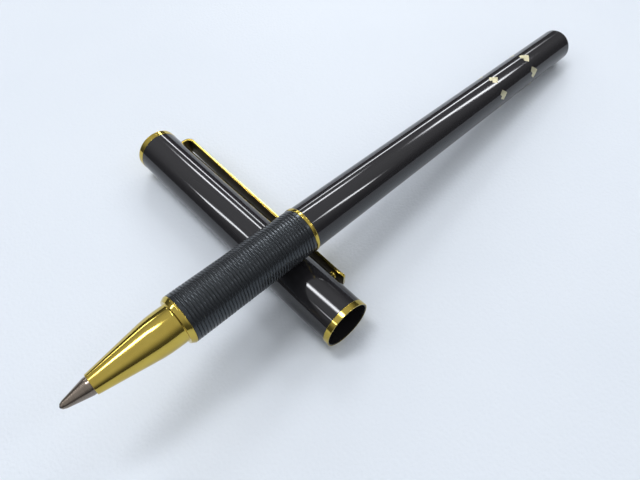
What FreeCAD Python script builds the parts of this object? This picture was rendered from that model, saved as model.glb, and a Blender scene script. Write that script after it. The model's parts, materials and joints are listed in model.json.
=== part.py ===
import FreeCAD, Part
import math
import os

# Capped rollerball pen, cap off, lying across its own cap.  All sizes in mm.
# The pen's pieces are turned about local Z, measured from the rear end to the tip.
# The cap's pieces are turned about local Z, measured from the mouth to the closed end.

V = FreeCAD.Vector

# Pen: stations along the axis, from the rear end
PEN_LENGTH = 130.0
END_HEAD = 0.9            # visible head of the rear plug
BARREL_MOUTH = 82.6
JOINT_RING_WIDTH = 0.7
GRIP_FRONT = 108.93
NOSE_RIM_WIDTH = 1.00
NECK_END = 111.9
TAPER_START = 114.6
NOSE_LIP = 124.95

# Pen: radii
BARREL_REAR_R = 3.66
BARREL_MOUTH_R = 4.33
BARREL_WALL = 0.40
END_ROUND = 0.80
RING_R = 4.50
GRIP_REAR_R = 4.38
GRIP_FRONT_R = 4.48
NECK_R = 3.55
TAPER_START_R = 3.37
NOSE_LIP_R = 1.82
FACE_GAP = 0.02           # between pieces that seat against each other

# Screw joint between barrel and section
THREAD_START = 76.0
THREAD_R = 3.44
THREAD_CLEARANCE = 0.06
CORE_R = 3.80
CORE_BORE_R = 3.12
NOSE_SPIGOT_START = 103.0
NOSE_SPIGOT_R = 3.38

# Grip rings
GROOVE_PITCH = 0.604
GROOVE_DEPTH = 0.11
GROOVE_WIDTH = 0.30
GROOVE_COUNT = 41

# Inlaid chevrons: two rows round the rear of the barrel
CHEVRON_ROWS = (14.0, 25.8)
CHEVRONS_PER_ROW = 6
CHEVRON_TURN = -2.5
CHEVRON_RISE = 1.85       # axial drop from the point to the outer corner of an arm
CHEVRON_HALF_SPAN = 1.70
CHEVRON_ARM = 1.85        # axial width of an arm at the point
CHEVRON_END_SHARE = 0.72  # width of an arm's outer end, as a share of that
CHEVRON_END_CUT = 0.40    # how far the outer end slants in
INLAY_DEPTH = 0.15
INLAY_PROUD = 0.02

# Refill
REFILL_REAR = 19.5
REFILL_R = 2.95
REFILL_WALL = 0.35
REFILL_SHOULDER = 108.4
HOLDER_STEP = 116.0
TIP_SEAT = 121.5
TIP_STEM = 3.0            # length of the tip's stem inside the holder
TIP_CONE_START = 125.4
TIP_R = 1.575
BALL_R = 0.35
BALL_CENTRE = PEN_LENGTH - BALL_R

# Spring behind the refill
SPRING_SEAT = 3.0
SPRING_R = 2.1
SPRING_WIRE_R = 0.2
SPRING_PITCH = 1.8
SPRING_SIDES = 12         # the round wire is drawn with this many flat sides

# Cap: stations from the mouth
CAP_LENGTH = 59.25
LIP_WIDTH = 1.16
LIP_RECESS = 0.05         # the tube's end lies this far inside the lip ring
FINIAL_FACE = 57.80
INNER_CAP_START = 27.3
INNER_CAP_END = 50.6
TIP_POCKET_START = 44.0
BUSH_START = 51.0

# Cap: radii
LIP_R = 4.90
CAP_MOUTH_R = 4.84
CAP_CLOSED_R = 4.62
CAP_BORE_R = 4.56
CAP_LINER_BORE_R = 4.30
LIP_SEAT_R = 4.72         # turned-down end of the tube, under the lip ring
FINIAL_R = 4.65
STUD_R = 1.25

# Clip
CLIP_TURN = 6.7           # below the horizontal, on the side towards the pen's rear
CLIP_WIDTH = 3.6
CLIP_THICKNESS = 0.6
CLIP_ROOT = 55.2
CLIP_END = 7.0
CLIP_ROOT_R = 6.05        # inner face of the strip, beside the root
CLIP_END_R = 5.62
CLIP_FOOT_R = 3.3
CLIP_BEND = 1.4
CLIP_BALL_STATION = 9.3
CLIP_BALL_R = 0.75
SLOT_CLEARANCE = 0.30

# How the pen lies on the cap
CROSSING_ON_PEN = 87.6
CROSSING_ON_CAP = 15.9
LYING_GAP = 0.10

os.makedirs("parts", exist_ok=True)


def turned(outline):
    """Solid of revolution about Z from a closed outline of (radius, station) points."""
    wire = Part.makePolygon([V(r, 0, z) for r, z in outline + outline[:1]])
    return Part.Face(wire).revolve(V(0, 0, 0), V(0, 0, 1), 360)


def turned_wire(edges):
    """Solid of revolution about Z from the edges of a closed outline in the XZ plane."""
    return Part.Face(Part.Wire(edges)).revolve(V(0, 0, 0), V(0, 0, 1), 360)


def tube(outer, inner, start, end):
    return turned([(inner, start), (outer, start), (outer, end), (inner, end)])


def rod(radius, start, end):
    return Part.makeCylinder(radius, end - start, V(0, 0, start))


def line(a, b):
    return Part.LineSegment(V(a[0], 0, a[1]), V(b[0], 0, b[1])).toShape()


def arc(a, middle, b):
    return Part.Arc(V(a[0], 0, a[1]), V(middle[0], 0, middle[1]), V(b[0], 0, b[1])).toShape()


def barrel_r(station):
    return BARREL_REAR_R + (BARREL_MOUTH_R - BARREL_REAR_R) * station / BARREL_MOUTH


def barrel_bore_r(station):
    return barrel_r(station) - BARREL_WALL


def grip_r(station):
    share = (station - grip_rear()) / (GRIP_FRONT - grip_rear())
    return GRIP_REAR_R + (GRIP_FRONT_R - GRIP_REAR_R) * share


def grip_rear():
    return BARREL_MOUTH + JOINT_RING_WIDTH + 2 * FACE_GAP


def cap_r(station):
    share = (station - LIP_WIDTH) / (FINIAL_FACE - LIP_WIDTH)
    return CAP_MOUTH_R + (CAP_CLOSED_R - CAP_MOUTH_R) * share


# ---- barrel ----

def chevron(point_station, turn):
    """One flat chevron block, its point towards the rear end, standing out along local X."""
    z = point_station
    outer = CHEVRON_HALF_SPAN
    inner = CHEVRON_HALF_SPAN - CHEVRON_END_CUT
    end_z = z + CHEVRON_RISE + CHEVRON_ARM * CHEVRON_END_SHARE
    outline = [
        (0.0, z),
        (outer, z + CHEVRON_RISE),
        (inner, end_z),
        (0.0, z + CHEVRON_ARM),
        (-inner, end_z),
        (-outer, z + CHEVRON_RISE),
    ]
    margin = 1.0
    wire = Part.makePolygon([V(BARREL_REAR_R - margin, y, s) for y, s in outline + outline[:1]])
    block = Part.Face(wire).extrude(V(2 * margin, 0, 0))
    block.rotate(V(0, 0, 0), V(0, 0, 1), turn)
    return block


def inlay_skin(outer_offset, inner_offset):
    """Thin tapered skin that the inlays are cut from, over both rows."""
    margin = 1.0
    start = CHEVRON_ROWS[0] - margin
    end = CHEVRON_ROWS[-1] + CHEVRON_RISE + CHEVRON_ARM + margin
    return turned([
        (barrel_r(start) + inner_offset, start),
        (barrel_r(start) + outer_offset, start),
        (barrel_r(end) + outer_offset, end),
        (barrel_r(end) + inner_offset, end),
    ])


def inlay_chevrons():
    """All the inlaid chevrons, each a thin curved piece let into the tube."""
    skin = inlay_skin(INLAY_PROUD, -INLAY_DEPTH)
    step = 360.0 / CHEVRONS_PER_ROW
    pieces = []
    for row in CHEVRON_ROWS:
        for i in range(CHEVRONS_PER_ROW):
            block = chevron(row, CHEVRON_TURN - step * i)
            pieces.extend(block.common(skin).Solids)
    return Part.makeCompound(pieces)


def barrel_tube():
    """Tapered tube, open at both ends, with the pockets of the inlays."""
    body = turned([
        (barrel_bore_r(END_HEAD), END_HEAD),
        (barrel_r(END_HEAD), END_HEAD),
        (barrel_r(BARREL_MOUTH), BARREL_MOUTH),
        (barrel_bore_r(BARREL_MOUTH), BARREL_MOUTH),
    ])
    return body.cut(inlay_chevrons())


def barrel_end_plug():
    """Rounded head outside, spigot in the tube, with a blind seat for the spring."""
    spigot_end = 7.0
    seat_r = 2.6
    r = barrel_r(END_HEAD)
    spigot_r = barrel_bore_r(END_HEAD) - FACE_GAP
    bend = END_ROUND * (1 - math.sqrt(0.5))
    head_top = END_HEAD - FACE_GAP
    return turned_wire([
        line((0, 0), (r - END_ROUND, 0)),
        arc((r - END_ROUND, 0), (r - bend, bend), (r, END_ROUND)),
        line((r, END_ROUND), (r, head_top)),
        line((r, head_top), (spigot_r, head_top)),
        line((spigot_r, head_top), (spigot_r, spigot_end)),
        line((spigot_r, spigot_end), (seat_r, spigot_end)),
        line((seat_r, spigot_end), (seat_r, SPRING_SEAT)),
        line((seat_r, SPRING_SEAT), (0, SPRING_SEAT)),
        line((0, SPRING_SEAT), (0, 0)),
    ])


def barrel_bush():
    """Threaded brass sleeve in the mouth of the barrel."""
    start = THREAD_START + 0.4
    end = BARREL_MOUTH - 0.1
    inner = THREAD_R + THREAD_CLEARANCE
    return turned([
        (inner, start),
        (barrel_bore_r(start) - FACE_GAP, start),
        (barrel_bore_r(end) - FACE_GAP, end),
        (inner, end),
    ])


def refill_spring():
    """Open coil between the rear plug and the refill."""
    start = SPRING_SEAT + SPRING_WIRE_R + FACE_GAP
    end = REFILL_REAR - SPRING_WIRE_R - FACE_GAP
    helix = Part.makeHelix(SPRING_PITCH, end - start, SPRING_R)
    helix.translate(V(0, 0, start))
    corners = []
    for i in range(SPRING_SIDES):
        turn = 2 * math.pi * (i + 0.5) / SPRING_SIDES
        corners.append(V(
            SPRING_R + SPRING_WIRE_R * math.cos(turn),
            0,
            start + SPRING_WIRE_R * math.sin(turn),
        ))
    section = Part.makePolygon(corners + corners[:1])
    return Part.Wire(helix.Edges).makePipeShell([section], True, True)


# ---- joint ring and section ----

def joint_ring():
    """Trim ring between barrel and grip, its corners broken."""
    start = BARREL_MOUTH + FACE_GAP
    end = start + JOINT_RING_WIDTH
    inner = THREAD_R + THREAD_CLEARANCE
    edge = 0.15
    return turned([
        (inner, start),
        (RING_R - edge, start),
        (RING_R, start + edge),
        (RING_R, end - edge),
        (RING_R - edge, end),
        (inner, end),
    ])


def section_core():
    """Inner tube of the front section: thread at the back, grip seat, nose seat."""
    shoulder = grip_rear() + FACE_GAP
    return turned([
        (CORE_BORE_R, THREAD_START),
        (THREAD_R, THREAD_START),
        (THREAD_R, shoulder),
        (CORE_R, shoulder),
        (CORE_R, GRIP_FRONT),
        (NOSE_SPIGOT_R + FACE_GAP, GRIP_FRONT),
        (NOSE_SPIGOT_R + FACE_GAP, NOSE_SPIGOT_START - FACE_GAP),
        (CORE_BORE_R, NOSE_SPIGOT_START - FACE_GAP),
    ])


def grip_sleeve():
    """Sleeve with fine V grooves turned round it at an even pitch."""
    outline = [(CORE_R + FACE_GAP, grip_rear()), (grip_r(grip_rear()), grip_rear())]
    first = 0.5 * (grip_rear() + GRIP_FRONT - (GROOVE_COUNT - 1) * GROOVE_PITCH)
    for i in range(GROOVE_COUNT):
        z = first + i * GROOVE_PITCH
        outline.append((grip_r(z), z - GROOVE_WIDTH / 2))
        outline.append((grip_r(z) - GROOVE_DEPTH, z))
        outline.append((grip_r(z), z + GROOVE_WIDTH / 2))
    outline.append((grip_r(GRIP_FRONT), GRIP_FRONT))
    outline.append((CORE_R + FACE_GAP, GRIP_FRONT))
    return turned(outline)


def nose_cone():
    """Sloping rim, short neck, long taper and front lip; stepped bore that seats the refill."""
    rim_start = GRIP_FRONT + FACE_GAP
    rim_land_end = rim_start + 0.30
    rim_end = rim_start + NOSE_RIM_WIDTH
    rim_front_r = 4.10
    fillet = 0.25
    fillet_start = rim_end + 0.03
    fillet_end = fillet_start + fillet
    shoulder = (NECK_R - 0.05, 113.3)
    lip_round = 0.15
    lip_bore_r = TIP_R + 0.10
    middle_bore_r = 2.0
    rear_bore_r = 2.4
    entry_bore_r = REFILL_R + 0.10
    tip_seat = TIP_SEAT + 0.2
    holder_seat = HOLDER_STEP + 0.2
    refill_seat = REFILL_SHOULDER + 0.05
    return turned_wire([
        line((entry_bore_r, NOSE_SPIGOT_START), (NOSE_SPIGOT_R, NOSE_SPIGOT_START)),
        line((NOSE_SPIGOT_R, NOSE_SPIGOT_START), (NOSE_SPIGOT_R, rim_start)),
        line((NOSE_SPIGOT_R, rim_start), (GRIP_FRONT_R, rim_start)),
        line((GRIP_FRONT_R, rim_start), (GRIP_FRONT_R, rim_land_end)),
        line((GRIP_FRONT_R, rim_land_end), (rim_front_r, rim_end)),
        line((rim_front_r, rim_end), (NECK_R + fillet, fillet_start)),
        line((NECK_R + fillet, fillet_start), (NECK_R, fillet_end)),
        line((NECK_R, fillet_end), (NECK_R, NECK_END)),
        arc((NECK_R, NECK_END), shoulder, (TAPER_START_R, TAPER_START)),
        line((TAPER_START_R, TAPER_START), (NOSE_LIP_R, NOSE_LIP - lip_round)),
        line((NOSE_LIP_R, NOSE_LIP - lip_round), (lip_bore_r, NOSE_LIP)),
        line((lip_bore_r, NOSE_LIP), (lip_bore_r, tip_seat)),
        line((lip_bore_r, tip_seat), (middle_bore_r, tip_seat)),
        line((middle_bore_r, tip_seat), (middle_bore_r, holder_seat)),
        line((middle_bore_r, holder_seat), (rear_bore_r, holder_seat)),
        line((rear_bore_r, holder_seat), (rear_bore_r, refill_seat)),
        line((rear_bore_r, refill_seat), (entry_bore_r, refill_seat)),
        line((entry_bore_r, refill_seat), (entry_bore_r, NOSE_SPIGOT_START)),
    ])


# ---- refill ----

TUBE_START = REFILL_REAR + 0.8
TUBE_END = 106.0
PLUG_IN_TUBE = 3.0
HOLDER_START = TUBE_END - 2.0
TUBE_BORE_R = REFILL_R - REFILL_WALL
RESERVOIR_R = TUBE_BORE_R - 0.05
VENT_R = 0.30
ROD_R = 0.30
ROD_END = 129.2


def refill_end_plug():
    """Plug with an air vent that closes the back of the refill."""
    return turned([
        (VENT_R, REFILL_REAR),
        (REFILL_R, REFILL_REAR),
        (REFILL_R, TUBE_START - FACE_GAP),
        (TUBE_BORE_R - FACE_GAP, TUBE_START - FACE_GAP),
        (TUBE_BORE_R - FACE_GAP, TUBE_START + PLUG_IN_TUBE),
        (VENT_R, TUBE_START + PLUG_IN_TUBE),
    ])


def refill_tube():
    return tube(REFILL_R, TUBE_BORE_R, TUBE_START, TUBE_END)


def ink_reservoir():
    """Fibre rod that holds the ink, a little clear of both plugs."""
    return rod(RESERVOIR_R, TUBE_START + PLUG_IN_TUBE + 0.3, HOLDER_START - 0.1)


def refill_holder():
    """Stepped front piece: plugs the tube, seats in the nose cone and holds the tip."""
    bore_r = ROD_R + 0.1
    neck_r = 2.25
    front_r = 1.9
    socket_r = 1.2
    socket_start = TIP_SEAT - TIP_STEM
    return turned([
        (bore_r, HOLDER_START),
        (TUBE_BORE_R - FACE_GAP, HOLDER_START),
        (TUBE_BORE_R - FACE_GAP, TUBE_END + FACE_GAP),
        (REFILL_R, TUBE_END + FACE_GAP),
        (REFILL_R, REFILL_SHOULDER),
        (neck_r, REFILL_SHOULDER),
        (neck_r, HOLDER_STEP),
        (front_r, HOLDER_STEP),
        (front_r, TIP_SEAT),
        (socket_r, TIP_SEAT),
        (socket_r, socket_start),
        (bore_r, socket_start),
    ])


def refill_tip():
    """Metal tip: stem in the holder, short cylinder, cone, and the socket of the ball."""
    stem_r = 1.18
    stem_start = TIP_SEAT - TIP_STEM + FACE_GAP
    seat = TIP_SEAT + FACE_GAP
    bore_r = ROD_R + 0.04
    cone_end = (0.70, PEN_LENGTH - 0.75)
    nose_bend = (0.63, PEN_LENGTH - 0.42)
    lip = (0.45, PEN_LENGTH - 0.22)
    ball_clearance = 0.03
    body = turned_wire([
        line((bore_r, stem_start), (stem_r, stem_start)),
        line((stem_r, stem_start), (stem_r, seat)),
        line((stem_r, seat), (TIP_R, seat)),
        line((TIP_R, seat), (TIP_R, TIP_CONE_START)),
        line((TIP_R, TIP_CONE_START), cone_end),
        arc(cone_end, nose_bend, lip),
        line(lip, (bore_r, lip[1])),
        line((bore_r, lip[1]), (bore_r, stem_start)),
    ])
    socket = Part.makeSphere(BALL_R + ball_clearance, V(0, 0, BALL_CENTRE))
    return body.cut(socket)


def feed_rod():
    return rod(ROD_R, HOLDER_START, ROD_END)


def writing_ball():
    return Part.makeSphere(BALL_R, V(0, 0, BALL_CENTRE))


# ---- cap ----

def cap_lip_ring():
    """Gold band round the turned-down end of the tube, its corners broken."""
    over = LIP_SEAT_R + FACE_GAP
    edge = 0.08
    return turned([
        (over, 0),
        (LIP_R - edge, 0),
        (LIP_R, edge),
        (LIP_R, LIP_WIDTH - edge),
        (LIP_R - edge, LIP_WIDTH),
        (over, LIP_WIDTH),
    ])


def strip_block(inner_r, clearance):
    """Box round the clip's foot where it passes the tube wall and enters the bush."""
    width = CLIP_WIDTH + 2 * clearance
    length = CLIP_THICKNESS + 2 * clearance
    start = CLIP_ROOT - clearance
    reach = CAP_MOUTH_R + 1.0
    block = Part.makeBox(reach - inner_r, width, length)
    block.translate(V(inner_r, -width / 2, start))
    block.rotate(V(0, 0, 0), V(0, 0, 1), CLIP_TURN)
    return block


def cap_tube():
    """Tapered tube: wide bore for the grip, narrow bore for the liner, slot for the clip."""
    body = turned([
        (CAP_BORE_R, LIP_RECESS),
        (LIP_SEAT_R, LIP_RECESS),
        (LIP_SEAT_R, LIP_WIDTH + FACE_GAP),
        (cap_r(LIP_WIDTH + FACE_GAP), LIP_WIDTH + FACE_GAP),
        (cap_r(FINIAL_FACE - FACE_GAP), FINIAL_FACE - FACE_GAP),
        (CAP_LINER_BORE_R, FINIAL_FACE - FACE_GAP),
        (CAP_LINER_BORE_R, INNER_CAP_START),
        (CAP_BORE_R, INNER_CAP_START),
    ])
    return body.cut(strip_block(CLIP_FOOT_R - SLOT_CLEARANCE, SLOT_CLEARANCE))


def inner_cap():
    """Plastic liner: wide bore for the nose cone, then a closed pocket round the tip."""
    outer = CAP_LINER_BORE_R - FACE_GAP
    nose_bore_r = 3.72
    nose_bore_end = TIP_POCKET_START - 1.8
    pocket_r = 1.9
    pocket_end = 48.8
    return turned([
        (nose_bore_r, INNER_CAP_START + FACE_GAP),
        (outer, INNER_CAP_START + FACE_GAP),
        (outer, INNER_CAP_END),
        (0, INNER_CAP_END),
        (0, pocket_end),
        (pocket_r, pocket_end),
        (pocket_r, TIP_POCKET_START),
        (nose_bore_r, nose_bore_end),
    ])


def cap_top_bush():
    """Bush in the closed end, tapped for the finial, with a pocket for the clip's foot."""
    tapped_r = STUD_R + 0.05
    body = tube(CAP_LINER_BORE_R - FACE_GAP, tapped_r, BUSH_START, FINIAL_FACE - FACE_GAP)
    return body.cut(strip_block(CLIP_FOOT_R - SLOT_CLEARANCE, SLOT_CLEARANCE))


def finial():
    """Gold disc with a soft edge and the stud that screws into the bush."""
    stud_start = BUSH_START + 1.0
    edge = 0.35
    bend = edge * (1 - math.sqrt(0.5))
    return turned_wire([
        line((0, stud_start), (STUD_R, stud_start)),
        line((STUD_R, stud_start), (STUD_R, FINIAL_FACE)),
        line((STUD_R, FINIAL_FACE), (FINIAL_R, FINIAL_FACE)),
        line((FINIAL_R, FINIAL_FACE), (FINIAL_R, CAP_LENGTH - edge)),
        arc((FINIAL_R, CAP_LENGTH - edge), (FINIAL_R - bend, CAP_LENGTH - bend),
            (FINIAL_R - edge, CAP_LENGTH)),
        line((FINIAL_R - edge, CAP_LENGTH), (0, CAP_LENGTH)),
        line((0, CAP_LENGTH), (0, stud_start)),
    ])


# ---- clip ----

def clip():
    """Strip with a foot that hooks into the cap, a rounded root and a turned-up end."""
    root_in = CLIP_ROOT
    root_out = CLIP_ROOT + CLIP_THICKNESS
    outer_root_r = CLIP_ROOT_R + CLIP_THICKNESS
    outer_end_r = CLIP_END_R + CLIP_THICKNESS
    turn_up = 0.25
    turn_length = 1.4
    inner_bend = CLIP_BEND - CLIP_THICKNESS
    soft = 1 - math.sqrt(0.5)
    edges = [
        line((CLIP_FOOT_R, root_in), (CLIP_ROOT_R - inner_bend, root_in)),
        arc((CLIP_ROOT_R - inner_bend, root_in),
            (CLIP_ROOT_R - inner_bend * soft, root_in - inner_bend * soft),
            (CLIP_ROOT_R, root_in - inner_bend)),
        line((CLIP_ROOT_R, root_in - inner_bend), (CLIP_END_R, CLIP_END + turn_length)),
        line((CLIP_END_R, CLIP_END + turn_length), (CLIP_END_R + turn_up, CLIP_END)),
        line((CLIP_END_R + turn_up, CLIP_END), (outer_end_r + turn_up, CLIP_END)),
        line((outer_end_r + turn_up, CLIP_END), (outer_end_r, CLIP_END + turn_length)),
        line((outer_end_r, CLIP_END + turn_length), (outer_root_r, root_out - CLIP_BEND)),
        arc((outer_root_r, root_out - CLIP_BEND),
            (outer_root_r - CLIP_BEND * soft, root_out - CLIP_BEND * soft),
            (outer_root_r - CLIP_BEND, root_out)),
        line((outer_root_r - CLIP_BEND, root_out), (CLIP_FOOT_R, root_out)),
        line((CLIP_FOOT_R, root_out), (CLIP_FOOT_R, root_in)),
    ]
    face = Part.Face(Part.Wire(edges))
    face.translate(V(0, -CLIP_WIDTH / 2, 0))
    strip = face.extrude(V(0, CLIP_WIDTH, 0))
    strip.rotate(V(0, 0, 0), V(0, 0, 1), CLIP_TURN)
    return strip


def clip_ball():
    """Ball brazed under the free end; its outer half is sunk into the strip."""
    gap = 0.03
    centre_r = cap_r(CLIP_BALL_STATION) + gap + CLIP_BALL_R
    ball = Part.makeSphere(CLIP_BALL_R, V(centre_r, 0, CLIP_BALL_STATION))
    ball.rotate(V(0, 0, 0), V(0, 0, 1), CLIP_TURN)
    pieces = ball.cut(clip()).Solids
    return min(pieces, key=lambda piece: math.hypot(piece.CenterOfMass.x, piece.CenterOfMass.y))


# ---- how it lies: cap on the ground, pen across it ----

CAP_TILT = math.degrees(math.asin((LIP_R - FINIAL_R) / (CAP_LENGTH - LIP_WIDTH)))


def rear_height(tilt):
    """Height of the rear end's centre when the rounded rear edge touches the ground."""
    r = barrel_r(END_HEAD)
    return (r - END_ROUND) * math.cos(tilt) + END_ROUND - END_ROUND * math.sin(tilt)


def pen_tilt():
    """Angle at which the pen rests on the cap and on its own rear edge, in radians."""
    cap_axis = LIP_R - CROSSING_ON_CAP * math.sin(math.radians(CAP_TILT))
    apart = cap_r(CROSSING_ON_CAP) + grip_r(CROSSING_ON_PEN) + LYING_GAP
    tilt = 0.1
    for _ in range(12):
        rise = cap_axis + apart / math.cos(tilt) - rear_height(tilt)
        tilt = math.asin(rise / CROSSING_ON_PEN)
    return tilt


def pen_placement():
    """Tip towards -X and up; local X becomes the pen's upper side."""
    tilt = pen_tilt()
    turn = FreeCAD.Rotation(V(0, 1, 0), math.degrees(tilt) - 90)
    x = CROSSING_ON_PEN * math.cos(tilt)
    return FreeCAD.Placement(V(x, 0, rear_height(tilt)), turn)


def cap_placement():
    """Mouth towards -Y; local X stays X, so the clip lies on the side of the pen's rear."""
    turn = FreeCAD.Rotation(V(1, 0, 0), -90 - CAP_TILT)
    return FreeCAD.Placement(V(0, -CROSSING_ON_CAP, LIP_R), turn)


PEN_PIECES = {
    "barrel_tube": barrel_tube,
    "barrel_end_plug": barrel_end_plug,
    "barrel_bush": barrel_bush,
    "inlay_chevrons": inlay_chevrons,
    "refill_spring": refill_spring,
    "joint_ring": joint_ring,
    "section_core": section_core,
    "grip_sleeve": grip_sleeve,
    "nose_cone": nose_cone,
    "refill_end_plug": refill_end_plug,
    "refill_tube": refill_tube,
    "ink_reservoir": ink_reservoir,
    "refill_holder": refill_holder,
    "feed_rod": feed_rod,
    "refill_tip": refill_tip,
    "writing_ball": writing_ball,
}

CAP_PIECES = {
    "cap_tube": cap_tube,
    "cap_lip_ring": cap_lip_ring,
    "inner_cap": inner_cap,
    "cap_top_bush": cap_top_bush,
    "finial": finial,
    "clip": clip,
    "clip_ball": clip_ball,
}


def placed(makers, placement):
    pieces = {}
    for name, make in makers.items():
        shape = make()
        shape.Placement = placement.multiply(shape.Placement)
        pieces[name] = shape
    return pieces


pieces = placed(PEN_PIECES, pen_placement())
pieces.update(placed(CAP_PIECES, cap_placement()))
box = Part.makeCompound(list(pieces.values())).optimalBoundingBox(False, False)
origin = V(-(box.XMin + box.XMax) / 2, -(box.YMin + box.YMax) / 2, -box.ZMin)
for name, shape in pieces.items():
    shape.translate(origin)
    shape.exportStep("parts/" + name + ".step")
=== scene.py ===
import json
import math
import bmesh
import bpy
from mathutils import Matrix, Vector


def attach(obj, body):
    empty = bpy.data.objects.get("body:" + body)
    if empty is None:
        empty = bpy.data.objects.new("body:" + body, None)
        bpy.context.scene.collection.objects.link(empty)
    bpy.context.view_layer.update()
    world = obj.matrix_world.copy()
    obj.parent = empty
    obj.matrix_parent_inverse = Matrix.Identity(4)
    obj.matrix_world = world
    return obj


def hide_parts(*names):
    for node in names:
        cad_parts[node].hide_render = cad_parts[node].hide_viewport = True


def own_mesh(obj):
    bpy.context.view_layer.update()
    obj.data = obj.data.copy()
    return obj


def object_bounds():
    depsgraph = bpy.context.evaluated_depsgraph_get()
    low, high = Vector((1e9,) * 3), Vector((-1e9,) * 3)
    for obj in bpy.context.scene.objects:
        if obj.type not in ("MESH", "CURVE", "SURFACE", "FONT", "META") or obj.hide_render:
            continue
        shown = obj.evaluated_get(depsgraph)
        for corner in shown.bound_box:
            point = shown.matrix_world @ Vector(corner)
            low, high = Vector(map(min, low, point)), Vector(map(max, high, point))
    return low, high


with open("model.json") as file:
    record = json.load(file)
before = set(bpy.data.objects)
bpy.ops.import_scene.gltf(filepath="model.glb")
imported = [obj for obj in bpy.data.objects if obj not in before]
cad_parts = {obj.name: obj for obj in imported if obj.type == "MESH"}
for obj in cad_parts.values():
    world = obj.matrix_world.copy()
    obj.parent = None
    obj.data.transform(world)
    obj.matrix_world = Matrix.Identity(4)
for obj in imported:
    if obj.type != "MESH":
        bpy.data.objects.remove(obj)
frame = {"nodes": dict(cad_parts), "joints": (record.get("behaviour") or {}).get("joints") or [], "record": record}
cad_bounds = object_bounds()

scene = bpy.context.scene


# ---- Camera ----
# It looks down across the crossing of pen and cap from the writing end's side, a little rolled.

camera_azimuth = math.radians(-38.14)
camera_elevation = math.radians(58.86)
camera_roll = math.radians(-6.51)
camera_distance = 0.1052
camera_lens = 31.46
camera_sensor = 36
camera_near = 0.005
aim_from_centre = Vector((-0.01499, -0.01483, -0.00265))

forward = Vector((
    -math.sin(camera_azimuth) * math.cos(camera_elevation),
    math.cos(camera_azimuth) * math.cos(camera_elevation),
    -math.sin(camera_elevation),
))
level = Vector((math.cos(camera_azimuth), math.sin(camera_azimuth), 0))
right = level * math.cos(camera_roll) + level.cross(forward) * math.sin(camera_roll)
up = right.cross(forward)
aim = (Vector(cad_bounds[0]) + Vector(cad_bounds[1])) / 2 + aim_from_centre
camera = bpy.data.objects.new("camera", bpy.data.cameras.new("camera"))
camera.data.lens = camera_lens
camera.data.sensor_width = camera_sensor
camera.data.clip_start = camera_near
turn = Matrix((right, up, -forward)).transposed().to_4x4()
camera.matrix_world = Matrix.Translation(aim - forward * camera_distance) @ turn
scene.collection.objects.link(camera)
scene.camera = camera


# ---- Table and light ----
# A pale laminate table top, moulded with a fine eggshell grain that scatters light evenly. The
# room is white above and dim round its walls; rows of ceiling lamps draw the lines in the lacquer.
# A pale backdrop is seen behind the table from any side; it lights nothing.

def linear(code):
    """A colour written as sRGB hex, as the linear colour that shaders and lamps take."""
    channels = [int(code[i:i + 2], 16) / 255 for i in (1, 3, 5)]
    return tuple(c / 12.92 if c <= 0.04045 else ((c + 0.055) / 1.055) ** 2.4 for c in channels) + (1,)


def add_node(tree, kind, sockets=None, **settings):
    """Adds a node. Each socket, by name or number, takes a value or a link from an output."""
    new = tree.nodes.new(kind)
    for key, value in settings.items():
        setattr(new, key, value)
    for key, value in (sockets or {}).items():
        if isinstance(value, bpy.types.NodeSocket):
            tree.links.new(value, new.inputs[key])
        else:
            new.inputs[key].default_value = value
    return new


def new_finish(name):
    """An empty material and its tree."""
    finish = bpy.data.materials.new(name)
    finish.use_nodes = True
    finish.node_tree.nodes.clear()
    return finish, finish.node_tree


def surface(tree, sockets):
    """Ends a material's tree in its shader."""
    shader = add_node(tree, "ShaderNodeBsdfPrincipled", sockets)
    add_node(tree, "ShaderNodeOutputMaterial", {"Surface": shader.outputs["BSDF"]})


table_size = 3.0
table_grain = 0.0006
table_grain_height = 0.00012
table_clouds_per_metre = 30.0
table_gap = 0.00002
table_colour = linear("#E6ECF2")
table_colour_deep = linear("#E1E8EF")

table_finish, tree = new_finish("table_laminate")
place = add_node(tree, "ShaderNodeTexCoord").outputs["Object"]
grain = add_node(tree, "ShaderNodeTexNoise", {"Vector": place, "Scale": 1 / table_grain, "Detail": 3.0})
cloud = add_node(tree, "ShaderNodeTexNoise", {
    "Vector": place, "Scale": table_clouds_per_metre, "Detail": 2.0})
tint = add_node(tree, "ShaderNodeMix", {
    "Factor": cloud.outputs["Fac"], 6: table_colour, 7: table_colour_deep}, data_type="RGBA")
relief = add_node(tree, "ShaderNodeBump", {
    "Height": grain.outputs["Fac"], "Strength": 0.6, "Distance": table_grain_height})
surface(tree, {"Base Color": tint.outputs[2], "Roughness": 0.5, "Normal": relief.outputs["Normal"]})

table_mesh = bpy.data.meshes.new("table")
half = table_size / 2
table_mesh.from_pydata(
    [(-half, -half, 0), (half, -half, 0), (half, half, 0), (-half, half, 0)], [], [(0, 1, 2, 3)])
table_mesh.transform(Matrix.Translation((0, 0, cad_bounds[0][2] - table_gap)))
table_mesh.materials.append(table_finish)
table = bpy.data.objects.new("table", table_mesh)
scene.collection.objects.link(table)

wall_light = 0.10
wall_top = 0.2
ceiling_light = 0.66
ceiling_start = 0.85
backdrop_light = 0.74

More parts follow.
